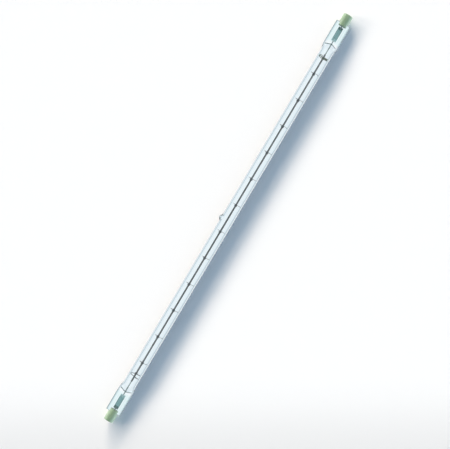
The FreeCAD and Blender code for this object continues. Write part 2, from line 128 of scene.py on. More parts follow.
def drawn_metal_group():
    """Mottling of drawn, fired metal: coarse noise mixes two colours, fine noise roughens the surface."""
    group, given, made = new_group(
        "drawn_metal",
        [
            ("Place", "NodeSocketVector"),
            ("Scale", "NodeSocketFloat"),
            ("Dark", "NodeSocketColor"),
            ("Light", "NodeSocketColor"),
            ("Smooth", "NodeSocketFloat"),
            ("Dull", "NodeSocketFloat"),
        ],
        [("Color", "NodeSocketColor"), ("Roughness", "NodeSocketFloat"), ("Height", "NodeSocketFloat")],
    )
    links = group.links
    coarse = group.nodes.new("ShaderNodeTexNoise")
    coarse.inputs["Detail"].default_value = 4
    links.new(given.outputs["Place"], coarse.inputs["Vector"])
    links.new(given.outputs["Scale"], coarse.inputs["Scale"])
    fine_scale = group.nodes.new("ShaderNodeMath")
    fine_scale.operation = "MULTIPLY"
    fine_scale.inputs[1].default_value = MOTTLE_FINENESS
    links.new(given.outputs["Scale"], fine_scale.inputs[0])
    fine = group.nodes.new("ShaderNodeTexNoise")
    fine.inputs["Detail"].default_value = 2
    links.new(given.outputs["Place"], fine.inputs["Vector"])
    links.new(fine_scale.outputs["Value"], fine.inputs["Scale"])
    colour = group.nodes.new("ShaderNodeMix")
    colour.data_type = "RGBA"
    links.new(coarse.outputs["Fac"], colour.inputs["Factor"])
    links.new(given.outputs["Dark"], colour.inputs["A"])
    links.new(given.outputs["Light"], colour.inputs["B"])
    rough = group.nodes.new("ShaderNodeMapRange")
    links.new(fine.outputs["Fac"], rough.inputs["Value"])
    links.new(given.outputs["Smooth"], rough.inputs["To Min"])
    links.new(given.outputs["Dull"], rough.inputs["To Max"])
    links.new(colour.outputs["Result"], made.inputs["Color"])
    links.new(rough.outputs["Result"], made.inputs["Roughness"])
    links.new(fine.outputs["Fac"], made.inputs["Height"])
    return group


drawn_metal = drawn_metal_group()


def mottled_metal(name, scale, dark, light, smooth, dull):
    """Bare metal whose colour and roughness come from the mottling group. Also gives the group's node."""
    material, tree, shader, place = new_material(name)
    mottle = tree.nodes.new("ShaderNodeGroup")
    mottle.node_tree = drawn_metal
    tree.links.new(place, mottle.inputs["Place"])
    mottle.inputs["Scale"].default_value = scale
    mottle.inputs["Dark"].default_value = dark
    mottle.inputs["Light"].default_value = light
    mottle.inputs["Smooth"].default_value = smooth
    mottle.inputs["Dull"].default_value = dull
    shader.inputs["Metallic"].default_value = 1
    tree.links.new(mottle.outputs["Color"], shader.inputs["Base Color"])
    tree.links.new(mottle.outputs["Roughness"], shader.inputs["Roughness"])
    return material, mottle


def drawn_wire(name, scale, dark, light, smooth, dull, bump):
    """Mottled metal with the mottling's height as bump."""
    material, mottle = mottled_metal(name, scale, dark, light, smooth, dull)
    tree = material.node_tree
    relief = tree.nodes.new("ShaderNodeBump")
    relief.inputs["Strength"].default_value = bump
    relief.inputs["Distance"].default_value = 0.02 * MM
    tree.links.new(mottle.outputs["Height"], relief.inputs["Height"])
    tree.links.new(relief.outputs["Normal"], tree.nodes["Principled BSDF"].inputs["Normal"])
    return material


tungsten = drawn_wire(
    "tungsten", scale=900, dark=TUNGSTEN_DARK, light=TUNGSTEN_LIGHT, smooth=0.35, dull=0.6, bump=0.4
)
coil_points = COIL_TURNS * COIL_POINTS_A_TURN + 1
coil_path = helix(-COIL_END, COIL_END, COIL_MEAN_RADIUS, 0, COIL_TURNS, coil_points)
coil_rings = wire_rings(coil_path, COIL_WIRE_RADIUS, COIL_WIRE_SIDES, ALONG_LAMP)
new_piece("filament_wire", *closed_skin(coil_rings), tungsten, "tungsten", "filament_coil")

# Supports: short lengths of thin tungsten wire, wound a few turns tight round the coil, then swung out to
# lie along the tube's wall. They keep the hot filament from sagging and are held by their own spring.
SUPPORT_COUNT = 12
SUPPORT_PITCH = 21.43 * MM
SUPPORT_WIRE_RADIUS = 0.12 * MM
SUPPORT_CLOSE_TURNS = 5
SUPPORT_WALL_TURNS = 1 / 3
SUPPORT_GAP = 0.04 * MM
COIL_RADIUS = 0.7 * MM
BORE_RADIUS = 3.65 * MM
CLOSE_TURN_STEP = 2.1
CLOSE_POINTS_A_TURN = 24
RING_POINTS = 25
SWING_POINTS = 33
WALL_POINTS_A_TURN = 100
SPIRAL_WIRE_SIDES = 10


def spiral_path(x, outward, wire, close_turns, wall_turns, wall_reach):
    """The wire's way from the coil to the wall: close turns round the coil, a little over two wire radii
    apart, that end over it, three quarters of a turn more in one plane, half a circle that starts on the
    coil's +Y side, goes over the top and ends on the wall's -Y side, and turns along the wall that move on
    by the reach."""
    ring_radius = COIL_RADIUS + SUPPORT_GAP + wire
    wall_radius = BORE_RADIUS - SUPPORT_GAP - wire
    swing_radius = (ring_radius + wall_radius) / 2
    close_start = x - outward * close_turns * CLOSE_TURN_STEP * wire
    close_points = CLOSE_POINTS_A_TURN * close_turns + 1
    wall_points = int(WALL_POINTS_A_TURN * wall_turns) + 2
    close = helix(close_start, x, ring_radius, np.pi / 2, close_turns, close_points)
    ring = helix(x, x, ring_radius, np.pi / 2, 0.75, RING_POINTS)
    swing = helix(x, x, swing_radius, 0, 0.5, SWING_POINTS)
    swing[:, 1] += ring_radius - swing_radius
    wall = helix(x, x + wall_reach, wall_radius, np.pi, wall_turns, wall_points)
    return np.concatenate([close[:-1], ring[:-1], swing[:-1], wall])


# A support is turned back a quarter about the axis: its +Z becomes +Y, and its +Y becomes -Z.
for number in range(1, SUPPORT_COUNT + 1):
    support_x = (number - (SUPPORT_COUNT + 1) / 2) * SUPPORT_PITCH
    support_path = spiral_path(support_x, 1, SUPPORT_WIRE_RADIUS, SUPPORT_CLOSE_TURNS, SUPPORT_WALL_TURNS, 0)
    quarter_back = support_path[:, [0, 2, 1]] * np.array([1, 1, -1])
    support_skin = closed_skin(wire_rings(quarter_back, SUPPORT_WIRE_RADIUS, SPIRAL_WIRE_SIDES, ALONG_LAMP))
    support_node = f"filament_support_{number:02d}"
    new_piece(f"support_wire_{number:02d}", *support_skin, tungsten, "tungsten", support_node)

# End spirals: the same shape in stouter wire next to the coil's ends, with the wall turn drawn out into a
# helix. The left one is loose and grey, the right one almost flat, with an olive tarnish.
SPIRAL_WIRE_RADIUS = 0.2 * MM
SPIRAL_CLOSE_TURNS = 1
LEFT_SPIRAL_X = -126.9 * MM
LEFT_SPIRAL_PITCH = 2.8 * MM
LEFT_WALL_TURNS = 1.2
RIGHT_SPIRAL_X = 130.1 * MM
RIGHT_SPIRAL_PITCH = 0.85 * MM
RIGHT_WALL_TURNS = 1.7
TARNISH_DARK = (0.055, 0.092, 0.04, 1)
TARNISH_LIGHT = (0.145, 0.22, 0.1, 1)

tarnished_tungsten = drawn_wire(
    "tarnished_tungsten", scale=700, dark=TARNISH_DARK, light=TARNISH_LIGHT, smooth=0.4, dull=0.65, bump=0.4
)
for end, outward, spiral_x, pitch, wall_turns, spiral_metal in (
    ("left", -1, LEFT_SPIRAL_X, LEFT_SPIRAL_PITCH, LEFT_WALL_TURNS, tungsten),
    ("right", 1, RIGHT_SPIRAL_X, RIGHT_SPIRAL_PITCH, RIGHT_WALL_TURNS, tarnished_tungsten),
):
    wall_reach = outward * wall_turns * pitch
    end_path = spiral_path(spiral_x, outward, SPIRAL_WIRE_RADIUS, SPIRAL_CLOSE_TURNS, wall_turns, wall_reach)
    end_skin = closed_skin(wire_rings(end_path, SPIRAL_WIRE_RADIUS, SPIRAL_WIRE_SIDES, ALONG_LAMP))
    new_piece(f"{end}_spiral_wire", *end_skin, spiral_metal, "tungsten", f"{end}_end_spiral")

# Inner leads and outer pins: drawn molybdenum wire. A lead runs from inside the coil into the seal, a pin
# from the seal to the contact, and both are spot-welded to the foil between them. The lead is coloured
# bright on the last two millimetres up to its end.
LEAD_RADIUS = 0.35 * MM
LEAD_FROM = 128.4 * MM
LEAD_TO = 146.3 * MM
LEAD_BRIGHT_FROM = LEAD_TO - 2.4 * MM
LEAD_BRIGHT_FULL = LEAD_TO - 1.9 * MM
PIN_RADIUS = 0.45 * MM
PIN_HEIGHT = 0.1 * MM
PIN_FROM = 153.4 * MM
PIN_TO = 162.79 * MM
ROD_SIDES = 20
ROD_END_ROWS = 9
ROD_END_SHARE = 0.001
BRIGHT_LEAD = (0.75, 0.86, 0.86, 1)
MOLYBDENUM = {
    "scale": 1200,
    "dark": (0.17, 0.24, 0.24, 1),
    "light": (0.34, 0.42, 0.42, 1),
    "smooth": 0.3,
    "dull": 0.5,
    "bump": 0.3,
}
UPWARD = np.array([0, 0, 1.0])
ENDS = (("left", -1), ("right", 1))


def feed(links, given, socket):
    """Sets a plain colour on a socket, or links another socket to it."""
    if isinstance(given, tuple):
        socket.default_value = given
    else:
        links.new(given, socket)


def tint_band(tree, axis, start, end, share, tint, colour):
    """Mixes a tint into a colour by a smooth step of the distance from the lamp's middle along one axis,
    which goes from nothing at start to the share at end. Returns the mixed colour."""
    nodes, links = tree.nodes, tree.links
    split = nodes.new("ShaderNodeSeparateXYZ")
    links.new(nodes["Texture Coordinate"].outputs["Object"], split.inputs["Vector"])
    distance = nodes.new("ShaderNodeMath")
    distance.operation = "ABSOLUTE"
    links.new(split.outputs[axis], distance.inputs[0])
    band = nodes.new("ShaderNodeMapRange")
    band.interpolation_type = "SMOOTHSTEP"
    band.inputs["From Min"].default_value = start
    band.inputs["From Max"].default_value = end
    band.inputs["To Max"].default_value = share
    links.new(distance.outputs["Value"], band.inputs["Value"])
    mix = nodes.new("ShaderNodeMix")
    mix.data_type = "RGBA"
    mix.inputs["B"].default_value = tint
    links.new(band.outputs["Result"], mix.inputs["Factor"])
    feed(links, colour, mix.inputs["A"])
    return mix.outputs["Result"]


def lead_material():
    """The molybdenum wire, brighter on the stretch up to its end."""
    material = drawn_wire("lead_molybdenum", **MOLYBDENUM)
    tree = material.node_tree
    colour = tree.nodes["Group"].outputs["Color"]
    colour = tint_band(tree, "X", LEAD_BRIGHT_FROM, LEAD_BRIGHT_FULL, 1, BRIGHT_LEAD, colour)
    tree.links.new(colour, tree.nodes["Principled BSDF"].inputs["Base Color"])
    return material


def at_end(rings, sign):
    """Rings made for the right end, or for a sign of -1 mirrored to the left end, with their order turned
    round so that the faces still point outwards."""
    return rings if sign > 0 else rings[::-1] * np.array([-1.0, 1, 1])


def straight_wire(start, end, height, radius, sign):
    """A rod along the lamp with rounded ends: within one radius of an end its radius follows a quarter
    circle, down to a very small ring. A sign of -1 mirrors it to the lamp's left end."""
    bend = radius * (1 - np.cos(np.linspace(0, np.pi / 2, ROD_END_ROWS)))
    x = np.concatenate([start + bend, (end - bend)[::-1]])
    from_end = np.minimum(x - start, end - x)
    width = radius * np.sqrt(np.clip(1 - (1 - from_end / radius).clip(0) ** 2, ROD_END_SHARE, 1))
    path = np.stack([x, np.zeros_like(x), np.full_like(x, height)], axis=-1)
    return at_end(wire_rings(path, width, ROD_SIDES, UPWARD), sign)


molybdenum = drawn_wire("molybdenum", **MOLYBDENUM)
lead_molybdenum = lead_material()
for end, sign in ENDS:
    lead_skin = closed_skin(straight_wire(LEAD_FROM, LEAD_TO, 0, LEAD_RADIUS, sign))
    new_piece(f"{end}_lead_wire", *lead_skin, lead_molybdenum, "molybdenum", f"{end}_inner_lead")
    pin_skin = closed_skin(straight_wire(PIN_FROM, PIN_TO, PIN_HEIGHT, PIN_RADIUS, sign))
    new_piece(f"{end}_pin_wire", *pin_skin, molybdenum, "molybdenum", f"{end}_outer_pin")

# Foils: rolled molybdenum strips with etched, knife-thin long edges, flat in the middle of each seal. They
# carry the current through the quartz, and show a teal grey, dark at the pin's weld and pale at the lead's.
FOIL_FROM = 144.3 * MM
FOIL_TO = 155.4 * MM
FOIL_HALF_WIDTH = 1.725 * MM
FOIL_HALF_THICKNESS = 0.02 * MM
FOIL_FEATHER = 0.5 * MM
FOIL_EDGE_SHARE = 0.3
FOIL_HEIGHT = -0.38 * MM
FOIL_WAVE_HEIGHT = 0.006 * MM
FOIL_WAVE_LENGTH = 2.9 * MM
FOIL_ROWS = 61
FOIL_COLUMNS = 25
EDGE_SHADE_FULL = FOIL_HALF_WIDTH - 0.1 * MM
LEAD_WELD_FROM = LEAD_TO + 0.3 * MM
LEAD_WELD_FULL = LEAD_TO - 0.7 * MM
LEAD_WELD_SHARE = 0.6
PIN_WELD_FROM = PIN_FROM - 0.4 * MM
PIN_WELD_FULL = PIN_FROM + 0.3 * MM
FOIL_DARK = (0.2975, 0.476, 0.4845, 1)
FOIL_LIGHT = (0.4025, 0.644, 0.6555, 1)
# Painted shade: the dark colour along the foil's long edges.
FOIL_EDGE_SHADE = (0.13, 0.25, 0.25, 1)
LEAD_WELD = (0.5, 0.74, 0.74, 1)
PIN_WELD = (0.13, 0.25, 0.24, 1)


def foil_rings(sign):
    """A thin lens section carried along the seal: its half thickness is full in the middle and falls evenly
    to three tenths at the edges, and its height follows a slow wave along the strip, as rolled foil has."""
    along = np.linspace(FOIL_FROM, FOIL_TO, FOIL_ROWS)
    across = FOIL_HALF_WIDTH * np.cos(np.linspace(0, np.pi, FOIL_COLUMNS))
    inside = np.clip((FOIL_HALF_WIDTH - np.abs(across)) / FOIL_FEATHER, 0, 1)
    half = FOIL_HALF_THICKNESS * (FOIL_EDGE_SHARE + (1 - FOIL_EDGE_SHARE) * inside)
    y = np.concatenate([across, across[::-1]])
    z = np.concatenate([half, -half[::-1]])
    wave = FOIL_WAVE_HEIGHT * np.sin(2 * np.pi * (along - FOIL_FROM) / FOIL_WAVE_LENGTH)
    rings = np.empty((len(along), len(y), 3))
    rings[..., 0] = along[:, None]
    rings[..., 1] = y
    rings[..., 2] = FOIL_HEIGHT + z + wave[:, None]
    return at_end(rings, sign)


def foil_material():
    """Teal-grey rolled metal with painted shade along its long edges, darker at the pin's weld and paler at
    the lead's weld.
    """
    material, mottle = mottled_metal(
        "molybdenum_foil", scale=500, dark=FOIL_DARK, light=FOIL_LIGHT, smooth=0.4, dull=0.6
    )
    tree = material.node_tree
    colour = mottle.outputs["Color"]
    # Painted shade: darker towards both long edges of the foil.
    colour = tint_band(tree, "Y", FOIL_HALF_WIDTH - FOIL_FEATHER, EDGE_SHADE_FULL, 1, FOIL_EDGE_SHADE, colour)
    colour = tint_band(tree, "X", LEAD_WELD_FROM, LEAD_WELD_FULL, LEAD_WELD_SHARE, LEAD_WELD, colour)
    colour = tint_band(tree, "X", PIN_WELD_FROM, PIN_WELD_FULL, 1, PIN_WELD, colour)
    tree.links.new(colour, tree.nodes["Principled BSDF"].inputs["Base Color"])
    return material


foil_metal = foil_material()
for end, sign in ENDS:
    foil_skin = closed_skin(foil_rings(sign))
    new_piece(f"{end}_foil_strip", *foil_skin, foil_metal, "molybdenum_foil", f"{end}_foil")

# Envelope: one piece of clear fused quartz. A drawn tube is pinched flat and gas-tight round the foils
# while it is soft, pumped out through a side tube, and that is melted off to leave the small hollow tip.

# Sizes of the tube, of a seal and of its pressed panel.
TUBE_RADIUS = 4.75 * MM
TUBE_STRAIGHT = 135 * MM
SHOULDER_START = 136.8 * MM
SHOULDER_END = 142.4 * MM
PINCH_END = 158.65 * MM
PINCH_HALF_WIDTH = 5.55 * MM
PINCH_HALF_HEIGHT = 1.7 * MM
PINCH_EDGE_WIDTH = 2.5 * MM
PINCH_END_ROUND = 0.25 * MM
FLAT_SHARE = 0.5
PANEL_DEPTH = 0.3 * MM
PANEL_HALF_WIDTH = 3.2 * MM
PANEL_SIDE = 0.5 * MM
PANEL_FULL_FROM = SHOULDER_END + 3.6 * MM
PANEL_FULL_TO = PINCH_END - 2.4 * MM
PANEL_END = PINCH_END - 0.6 * MM

# Sizes of the exhaust tip, of its hollow and of the dark spot of painted shade beside its peak.
TIP_X = -1.95 * MM
TIP_HEIGHT = 1.35 * MM
TIP_WIDTH = 1.7 * MM
TIP_REACH = 3 * MM
TIP_SECTOR = math.radians(34)
TIP_HOLLOW = 1.75 * MM
TIP_HOLLOW_WIDTH = 1.0 * MM
TIP_HOLLOW_REACH = 2.4 * MM
TIP_SPOT_X = -2.9 * MM
TIP_SPOT_ALONG = 0.75 * MM
TIP_SPOT_AROUND = 1.9 * MM
TIP_SPOT_SHARE = 0.8

# Sizes of the tube's hollow, and of the painted shade along the fold at its ends.
HOLLOW_TIP = 142.2 * MM
HOLLOW_V_DEPTH = 1.7 * MM
HOLLOW_CLOSING = 1.0 * MM
HOLLOW_WIDENING = 0.65 * MM
HOLLOW_FIRST_STEP = 0.02
HOLLOW_ROUND_FROM = HOLLOW_TIP - SHOULDER_START + 1 * MM
HOLLOW_FAR = np.array([12, 30, 70, 110]) * MM
# Painted shade along the hollow's edge: full within this distance of it, and weaker on the -Y side by this
# share.
FOLD_SHADE_FULL = 0.25 * MM
FOLD_SHADE_UNEVEN = 0.35

# Numbers of rows and columns of points.
TUBE_ROWS = 14
SEAL_ROWS = 140
END_ROWS = 8
TIP_ROWS = 61
TIP_COLUMNS = 60
OTHER_COLUMNS = 126
CLOSING_ROWS = 24
SHOULDER_ROWS = 28
TIP_HOLLOW_ROWS = 33
HOLLOW_COLUMNS = 120

# Colours, among them the dark teal of painted shade, and the stretch over which the quartz gets its tint of
# thick glass.
QUARTZ_CLEAR = (0.94, 0.98, 1.0, 1)
QUARTZ_THICK = (0.83, 0.95, 0.965, 1)
QUARTZ_PAINTED_SHADE = (0.08, 0.17, 0.17, 1)
THICK_FROM = SHOULDER_END - 1 * MM
THICK_FULL = SHOULDER_END + 2 * MM


def smooth_step(value, start, end):
    """Rises from 0 at start to 1 at end: thrice the square of the share between, less twice its cube."""
    share = np.clip((value - start) / (end - start), 0, 1)
    return share**2 * (3 - 2 * share)


def sections_along():
    """Places of the envelope's sections: wide apart on the plain tube, close together at the exhaust tip
    and over the shoulders and seals, and on a quarter circle at each seal's rounded end."""
    rounding = PINCH_END - PINCH_END_ROUND * (1 - np.sin(np.linspace(np.pi / 2, 0, END_ROWS)))
    seal = np.linspace(TUBE_STRAIGHT, PINCH_END - PINCH_END_ROUND, SEAL_ROWS)
    half = np.concatenate([seal, rounding[:-1]])
    tube = np.linspace(0, TUBE_STRAIGHT, TUBE_ROWS)[1:-1]
    tip = TIP_X + np.linspace(-TIP_REACH, TIP_REACH, TIP_ROWS)
    return np.sort(np.concatenate([-half, -tube, tip, tube, half]))[:, None]


def points_around():
    """Angles of a section's points from +Y towards +Z, closer together on the side of the exhaust tip."""
    at_tip = np.linspace(-TIP_SECTOR, TIP_SECTOR, TIP_COLUMNS, endpoint=False)
    elsewhere = np.linspace(TIP_SECTOR, 2 * np.pi - TIP_SECTOR, OTHER_COLUMNS, endpoint=False)
    return np.concatenate([at_tip, elsewhere])[None, :]


def seal_section(from_middle, cosine, sine):
    """The seal's slot shape. Its flat takes the angles whose cosine is under FLAT_SHARE, and a quarter
    ellipse of the rest of the cosine rounds its edge. At the seal's end an inset that follows a quarter
    circle makes the shape smaller. A pressed panel lowers the flat by smooth steps on its four sides."""
    ended = np.clip((from_middle - (PINCH_END - PINCH_END_ROUND)) / PINCH_END_ROUND, 0, 1)
    inset = PINCH_END_ROUND * (1 - np.sqrt(1 - ended**2))
    flat = (PINCH_HALF_WIDTH - PINCH_EDGE_WIDTH) * np.clip(np.abs(cosine) / FLAT_SHARE, 0, 1)
    bend = np.clip((np.abs(cosine) - FLAT_SHARE) / (1 - FLAT_SHARE), 0, 1)
    y = np.sign(cosine) * (flat + (PINCH_EDGE_WIDTH - inset) * bend)
    z = np.sign(sine) * (PINCH_HALF_HEIGHT - inset) * np.sqrt(1 - bend**2)
    panel = 1 - smooth_step(np.abs(y), PANEL_HALF_WIDTH - PANEL_SIDE, PANEL_HALF_WIDTH + PANEL_SIDE)
    panel = panel * smooth_step(from_middle, SHOULDER_END, PANEL_FULL_FROM)
    panel = panel * (1 - smooth_step(from_middle, PANEL_FULL_TO, PANEL_END))
    return y, z - np.sign(sine) * PANEL_DEPTH * panel


def envelope_outside():
    """Sections on a grid of place and angle, which go from a circle to the seal's shape by a smooth step
    over the shoulder. The step comes sooner beside the axis, so the flat starts as a V. A bell curve of the
    distance from the exhaust tip's peak raises the circle. Also gives each point's share of a dark spot of
    painted shade beside the peak."""
    x = sections_along()
    angle = points_around()
    cosine = np.cos(angle)
    sine = np.sin(angle)
    beside_tip = np.arctan2(sine, cosine) * TUBE_RADIUS
    from_tip = np.hypot(x - TIP_X, beside_tip) / TIP_WIDTH
    radius = TUBE_RADIUS + TIP_HEIGHT * np.exp(-(from_tip**3))
    # Painted shade: a dark spot beside the exhaust tip's peak.
    from_spot = np.hypot((x - TIP_SPOT_X) / TIP_SPOT_ALONG, beside_tip / TIP_SPOT_AROUND)
    tip_shade = TIP_SPOT_SHARE * np.exp(-(from_spot**4))
    seal_y, seal_z = seal_section(np.abs(x), cosine, sine)
    sooner = HOLLOW_V_DEPTH * np.minimum(np.abs(cosine) * TUBE_RADIUS / BORE_RADIUS, 1)
    pinched = smooth_step(np.abs(x) + sooner, SHOULDER_START, SHOULDER_END)
    y = radius * cosine + pinched * (seal_y - radius * cosine)
    z = radius * sine + pinched * (seal_z - radius * sine)
    return np.stack([np.broadcast_to(x, y.shape), y, z], axis=-1), tip_shade


def hollow_half(angle):
    """The right half of the hollow on a grid of distance from its end and angle. Its end is a V seen from
    above, whose edge falls back evenly from the middle to the walls. Its section is the bore's circle, and
    under the shoulder an ellipse whose roof sinks as far as the outside does above it and whose width grows
    a little. Next to the edge the height follows a quarter ellipse of the distance from it. Also gives each
    point's share of painted shade along the edge, where the quartz folds together, most on the +Y side."""
    closing = HOLLOW_CLOSING * np.linspace(HOLLOW_FIRST_STEP, 1, CLOSING_ROWS) ** 2
    shoulder = np.linspace(HOLLOW_CLOSING, HOLLOW_ROUND_FROM, SHOULDER_ROWS)[1:]
    from_edge = np.concatenate([closing, shoulder, HOLLOW_FAR])[:, None]
    x = HOLLOW_TIP - HOLLOW_V_DEPTH * np.abs(np.cos(angle)) - from_edge
    pinched = smooth_step(HOLLOW_TIP - from_edge, SHOULDER_START, SHOULDER_END)
    width = (BORE_RADIUS + HOLLOW_WIDENING * pinched) * np.cos(angle)
    roof = BORE_RADIUS - (TUBE_RADIUS - PINCH_HALF_HEIGHT) * pinched
    closed_share = 1 - np.clip(from_edge / HOLLOW_CLOSING, 0, 1)
    height = roof * np.sqrt(1 - closed_share**2) * np.sin(angle)
    # Painted shade along the hollow's edge, strongest on the +Y side.
    deeper = 1 - FOLD_SHADE_UNEVEN * (1 - np.cos(angle))
    painted_shade = (1 - smooth_step(from_edge, FOLD_SHADE_FULL, HOLLOW_CLOSING)) * deeper
    return np.stack([x, width, height], axis=-1), painted_shade


def hollow_at_tip(angle):
    """The bore under the thin-walled exhaust tip, raised by a bell curve of the distance from the peak."""
    x = TIP_X + np.linspace(-TIP_HOLLOW_REACH, TIP_HOLLOW_REACH, TIP_HOLLOW_ROWS)[:, None]
    beside_tip = np.arctan2(np.sin(angle), np.cos(angle)) * BORE_RADIUS
    from_tip = np.hypot(x - TIP_X, beside_tip) / TIP_HOLLOW_WIDTH
    radius = BORE_RADIUS + TIP_HOLLOW * np.exp(-(from_tip**2))
    return np.stack([x + 0 * angle, radius * np.cos(angle), radius * np.sin(angle)], axis=-1)


def hollow_faces(rows, around, first):
    """Faces of the hollow that look into it: a wall between each row of points and the next, and at both
    ends faces from each pair of upper points to the pair below, with a triangle in each corner."""
    row = np.arange(rows - 1)[:, None] * around
    here = np.arange(around)
    after = (here + 1) % around
    wall = np.stack([row + here, row + around + here, row + around + after, row + after], axis=-1)
    side = around // 2
    upper = np.arange(1, side - 1)
    left_end = np.stack([upper, upper + 1, around - upper - 1, around - upper], axis=-1)
    corners = np.array([[0, 1, around - 1], [side - 1, side, side + 1]])
    last_row = (rows - 1) * around
    right_end = left_end[:, ::-1] + last_row
    far_corners = corners[:, ::-1] + last_row
    quads = np.concatenate([wall.reshape(-1, 4), left_end, right_end]) + first
    triangles = np.concatenate([corners, far_corners]) + first
    return quads.tolist() + triangles.tolist()


def quartz_material():
    """Clear quartz with faint draw lines along the tube as bump, bluer where it is thick, in the seals, and
    with a dark teal tint of painted shade at the hollow's ends and at the exhaust tip's spot."""
    material, tree, shader, place = new_material("fused_quartz")
    links = tree.links
    stretch = tree.nodes.new("ShaderNodeMapping")
    stretch.inputs["Scale"].default_value = (12, 900, 900)
    links.new(place, stretch.inputs["Vector"])
    lines = tree.nodes.new("ShaderNodeTexNoise")
    lines.inputs["Scale"].default_value = 1
    lines.inputs["Detail"].default_value = 3
    links.new(stretch.outputs["Vector"], lines.inputs["Vector"])
    relief = tree.nodes.new("ShaderNodeBump")
    relief.inputs["Strength"].default_value = 0.12
    relief.inputs["Distance"].default_value = 0.03 * MM
    links.new(lines.outputs["Fac"], relief.inputs["Height"])
    # Painted shade: a dark teal tint from the point attribute, at the hollow's ends and on the exhaust tip.
    painted_shade = tree.nodes.new("ShaderNodeAttribute")
    painted_shade.attribute_name = "painted_shade"
    tint = tree.nodes.new("ShaderNodeMix")
    tint.data_type = "RGBA"
    tint.inputs["B"].default_value = QUARTZ_PAINTED_SHADE
    unfolded = tint_band(tree, "X", THICK_FROM, THICK_FULL, 1, QUARTZ_THICK, QUARTZ_CLEAR)
    links.new(unfolded, tint.inputs["A"])
    links.new(painted_shade.outputs["Fac"], tint.inputs["Factor"])
    links.new(tint.outputs["Result"], shader.inputs["Base Color"])
    links.new(relief.outputs["Normal"], shader.inputs["Normal"])
    shader.inputs["Roughness"].default_value = 0.01
    shader.inputs["IOR"].default_value = 1.458
    shader.inputs["Transmission Weight"].default_value = 1
    return material


outer_rings, tip_painted_shade = envelope_outside()
outer_points, outer_faces = closed_skin(outer_rings)
hollow_angle = 2 * np.pi * np.arange(HOLLOW_COLUMNS)[None, :] / HOLLOW_COLUMNS
right_half, right_painted_shade = hollow_half(hollow_angle)
under_tip = hollow_at_tip(hollow_angle)
hollow_rings = np.concatenate([right_half * np.array([-1, 1, 1]), under_tip, right_half[::-1]])
hollow_painted_shade = np.concatenate([right_painted_shade, np.zeros(under_tip.shape[:2]), right_painted_shade[::-1]])
inner_faces = hollow_faces(len(hollow_rings), HOLLOW_COLUMNS, len(outer_points))
envelope = new_piece(
    "quartz_tube",
    np.concatenate([outer_points, hollow_rings.reshape(-1, 3)]),
    outer_faces + inner_faces,
    quartz_material(),
    "quartz",
    "quartz_envelope",
)
# The painted shade of the tip's spot and of the hollow's ends, kept as a point attribute.
painted_shade_values = np.concatenate([tip_painted_shade.ravel(), np.zeros(2), hollow_painted_shade.ravel()])
painted_shade_attribute = envelope.data.attributes.new("painted_shade", "FLOAT", "POINT")
painted_shade_attribute.data.foreach_set("value", painted_shade_values.astype(np.float32))

# Caps: pressed and fired steatite, tinted sage green. Each is a thick disc with a slot across its inner end
# that takes the flat of the pinch, a hole for the pin, and a stepped recess for the contact in its outer
# end. Painted light makes both of its flanks paler than its top.
CAP_INNER_END = 156.4 * MM
CAP_OUTER_END = 165.4 * MM
CAP_RADIUS = 3.5 * MM
CAP_BEVEL = 0.4 * MM
CAP_RIM_WEAR = 0.15 * MM
CAP_RIM_ANGLE = math.radians(35)
CAP_MERGE = 0.001 * MM
SLOT_BOTTOM = 158.9 * MM
SLOT_HALF_HEIGHT = 1.95 * MM
PIN_HOLE_RADIUS = 0.65 * MM
CONTACT_BACK = 162.8 * MM
CONTACT_FACE = 163.7 * MM
CONTACT_SEAT_RADIUS = 2.1 * MM
RECESS_RADIUS = 2.3 * MM
JAW_COLUMNS = 61
BESIDE_COLUMNS = 37
CAP_SHADE = (0.2, 0.3, 0.19, 1)
CAP_PALE = (0.26, 0.36, 0.25, 1)
CAP_SPECK = (0.12, 0.18, 0.11, 1)
# Painted light: the paler colour of both flanks of the cap, where across the cap it starts and ends, and its
# share.
CAP_PAINTED_LIGHT = (0.36, 0.47, 0.37, 1)
PAINTED_LIGHT_FROM = 0.8 * MM
PAINTED_LIGHT_TO = 2.8 * MM
PAINTED_LIGHT_SHARE = 0.6
SPECK_FINENESS = 9
SPECK_SHARE = 0.35


